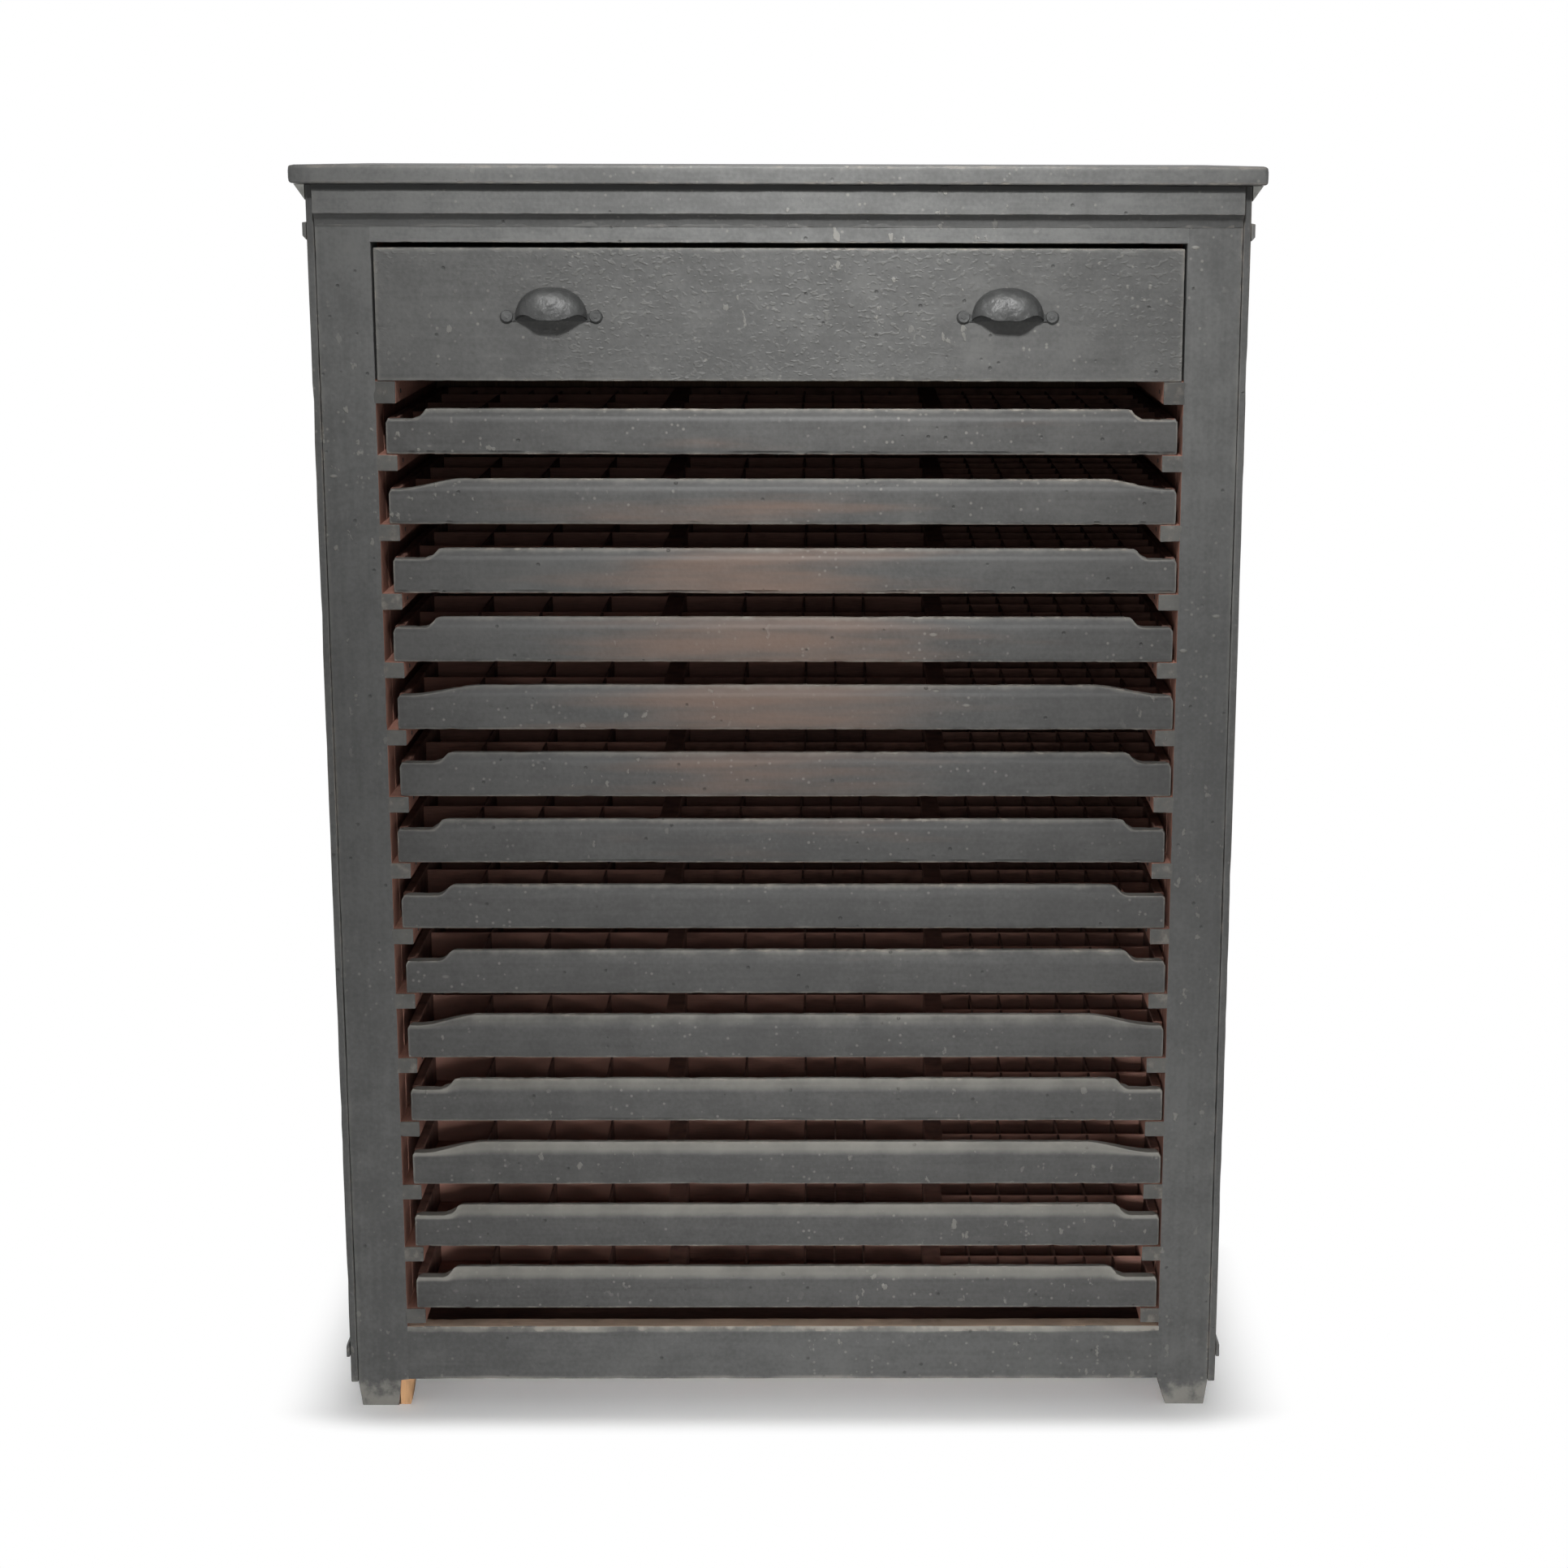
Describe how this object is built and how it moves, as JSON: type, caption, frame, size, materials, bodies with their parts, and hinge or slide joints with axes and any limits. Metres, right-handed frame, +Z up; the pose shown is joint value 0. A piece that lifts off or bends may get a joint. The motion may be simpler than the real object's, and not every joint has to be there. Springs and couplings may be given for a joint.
{
  "type": "printers type cabinet",
  "caption": "Tall painted wooden cabinet of open sliding type trays with divided compartments, under one shallow drawer with cup pulls, on four post feet.",
  "frame": {"origin": "on the floor at the middle of the cabinet's bounding box", "axes": "+Z up, front of the cabinet faces -Y, +X to the right of someone facing it"},
  "size_m": [0.9966, 0.4932, 1.3629],
  "materials": {
    "case_paint": "charcoal paint, satin, worn at the edges",
    "drawer_paint": "charcoal paint, satin, worn at the edges",
    "tray_paint": "charcoal paint, satin, worn through to brown in places",
    "tray_wood": "bare dark brown wood",
    "runner_wood": "bare reddish brown wood, ends painted charcoal",
    "drawer_wood": "bare brown wood",
    "back_wood": "bare brown planks",
    "pull_iron": "painted over with the drawer, satin"
  },
  "bodies": {
    "cabinet": {"post_front_left": "case_paint", "post_front_right": "case_paint", "post_rear_left": "case_paint", "post_rear_right": "case_paint", "top_rail_front": "case_paint", "top_rail_rear": "case_paint", "bottom_rail_front": "case_paint", "bottom_rail_rear": "case_paint", "bottom_board": "back_wood", "side_board_left": "case_paint", "side_board_right": "case_paint", "back_planks": "back_wood", "top_board": "case_paint", "cornice": "case_paint", "bed_mould_left": "case_paint", "bed_mould_right": "case_paint", "side_moulding_upper_left": "case_paint", "side_moulding_upper_right": "case_paint", "side_moulding_lower_left": "case_paint", "side_moulding_lower_right": "case_paint", "runner_rack_left": "runner_wood", "runner_rack_right": "runner_wood"},
    "drawer": {"drawer_front": "drawer_paint", "drawer_side_left": "drawer_wood", "drawer_side_right": "drawer_wood", "drawer_bottom": "drawer_wood", "drawer_back": "drawer_wood", "cup_pull_left": "pull_iron", "cup_pull_right": "pull_iron"},
    "tray_01": {"tray_front_01": "tray_paint", "tray_case_01": "tray_wood"},
    "tray_02": {"tray_front_02": "tray_paint", "tray_case_02": "tray_wood"},
    "tray_03": {"tray_front_03": "tray_paint", "tray_case_03": "tray_wood"},
    "tray_04": {"tray_front_04": "tray_paint", "tray_case_04": "tray_wood"},
    "tray_05": {"tray_front_05": "tray_paint", "tray_case_05": "tray_wood"},
    "tray_06": {"tray_front_06": "tray_paint", "tray_case_06": "tray_wood"},
    "tray_07": {"tray_front_07": "tray_paint", "tray_case_07": "tray_wood"},
    "tray_08": {"tray_front_08": "tray_paint", "tray_case_08": "tray_wood"},
    "tray_09": {"tray_front_09": "tray_paint", "tray_case_09": "tray_wood"},
    "tray_10": {"tray_front_10": "tray_paint", "tray_case_10": "tray_wood"},
    "tray_11": {"tray_front_11": "tray_paint", "tray_case_11": "tray_wood"},
    "tray_12": {"tray_front_12": "tray_paint", "tray_case_12": "tray_wood"},
    "tray_13": {"tray_front_13": "tray_paint", "tray_case_13": "tray_wood"},
    "tray_14": {"tray_front_14": "tray_paint", "tray_case_14": "tray_wood"}
  },
  "joints": [
    {"name": "drawer_slide", "type": "slide", "parent": "cabinet", "child": "drawer", "axis": [0, -1, 0], "range_m": [0, 0.34]},
    {"name": "tray_slide_01", "type": "slide", "parent": "cabinet", "child": "tray_01", "axis": [0, -1, 0], "range_m": [0, 0.34]},
    {"name": "tray_slide_02", "type": "slide", "parent": "cabinet", "child": "tray_02", "axis": [0, -1, 0], "range_m": [0, 0.34]},
    {"name": "tray_slide_03", "type": "slide", "parent": "cabinet", "child": "tray_03", "axis": [0, -1, 0], "range_m": [0, 0.34]},
    {"name": "tray_slide_04", "type": "slide", "parent": "cabinet", "child": "tray_04", "axis": [0, -1, 0], "range_m": [0, 0.34]},
    {"name": "tray_slide_05", "type": "slide", "parent": "cabinet", "child": "tray_05", "axis": [0, -1, 0], "range_m": [0, 0.34]},
    {"name": "tray_slide_06", "type": "slide", "parent": "cabinet", "child": "tray_06", "axis": [0, -1, 0], "range_m": [0, 0.34]},
    {"name": "tray_slide_07", "type": "slide", "parent": "cabinet", "child": "tray_07", "axis": [0, -1, 0], "range_m": [0, 0.34]},
    {"name": "tray_slide_08", "type": "slide", "parent": "cabinet", "child": "tray_08", "axis": [0, -1, 0], "range_m": [0, 0.34]},
    {"name": "tray_slide_09", "type": "slide", "parent": "cabinet", "child": "tray_09", "axis": [0, -1, 0], "range_m": [0, 0.34]},
    {"name": "tray_slide_10", "type": "slide", "parent": "cabinet", "child": "tray_10", "axis": [0, -1, 0], "range_m": [0, 0.34]},
    {"name": "tray_slide_11", "type": "slide", "parent": "cabinet", "child": "tray_11", "axis": [0, -1, 0], "range_m": [0, 0.34]},
    {"name": "tray_slide_12", "type": "slide", "parent": "cabinet", "child": "tray_12", "axis": [0, -1, 0], "range_m": [0, 0.34]},
    {"name": "tray_slide_13", "type": "slide", "parent": "cabinet", "child": "tray_13", "axis": [0, -1, 0], "range_m": [0, 0.34]},
    {"name": "tray_slide_14", "type": "slide", "parent": "cabinet", "child": "tray_14", "axis": [0, -1, 0], "range_m": [0, 0.34]}
  ]
}
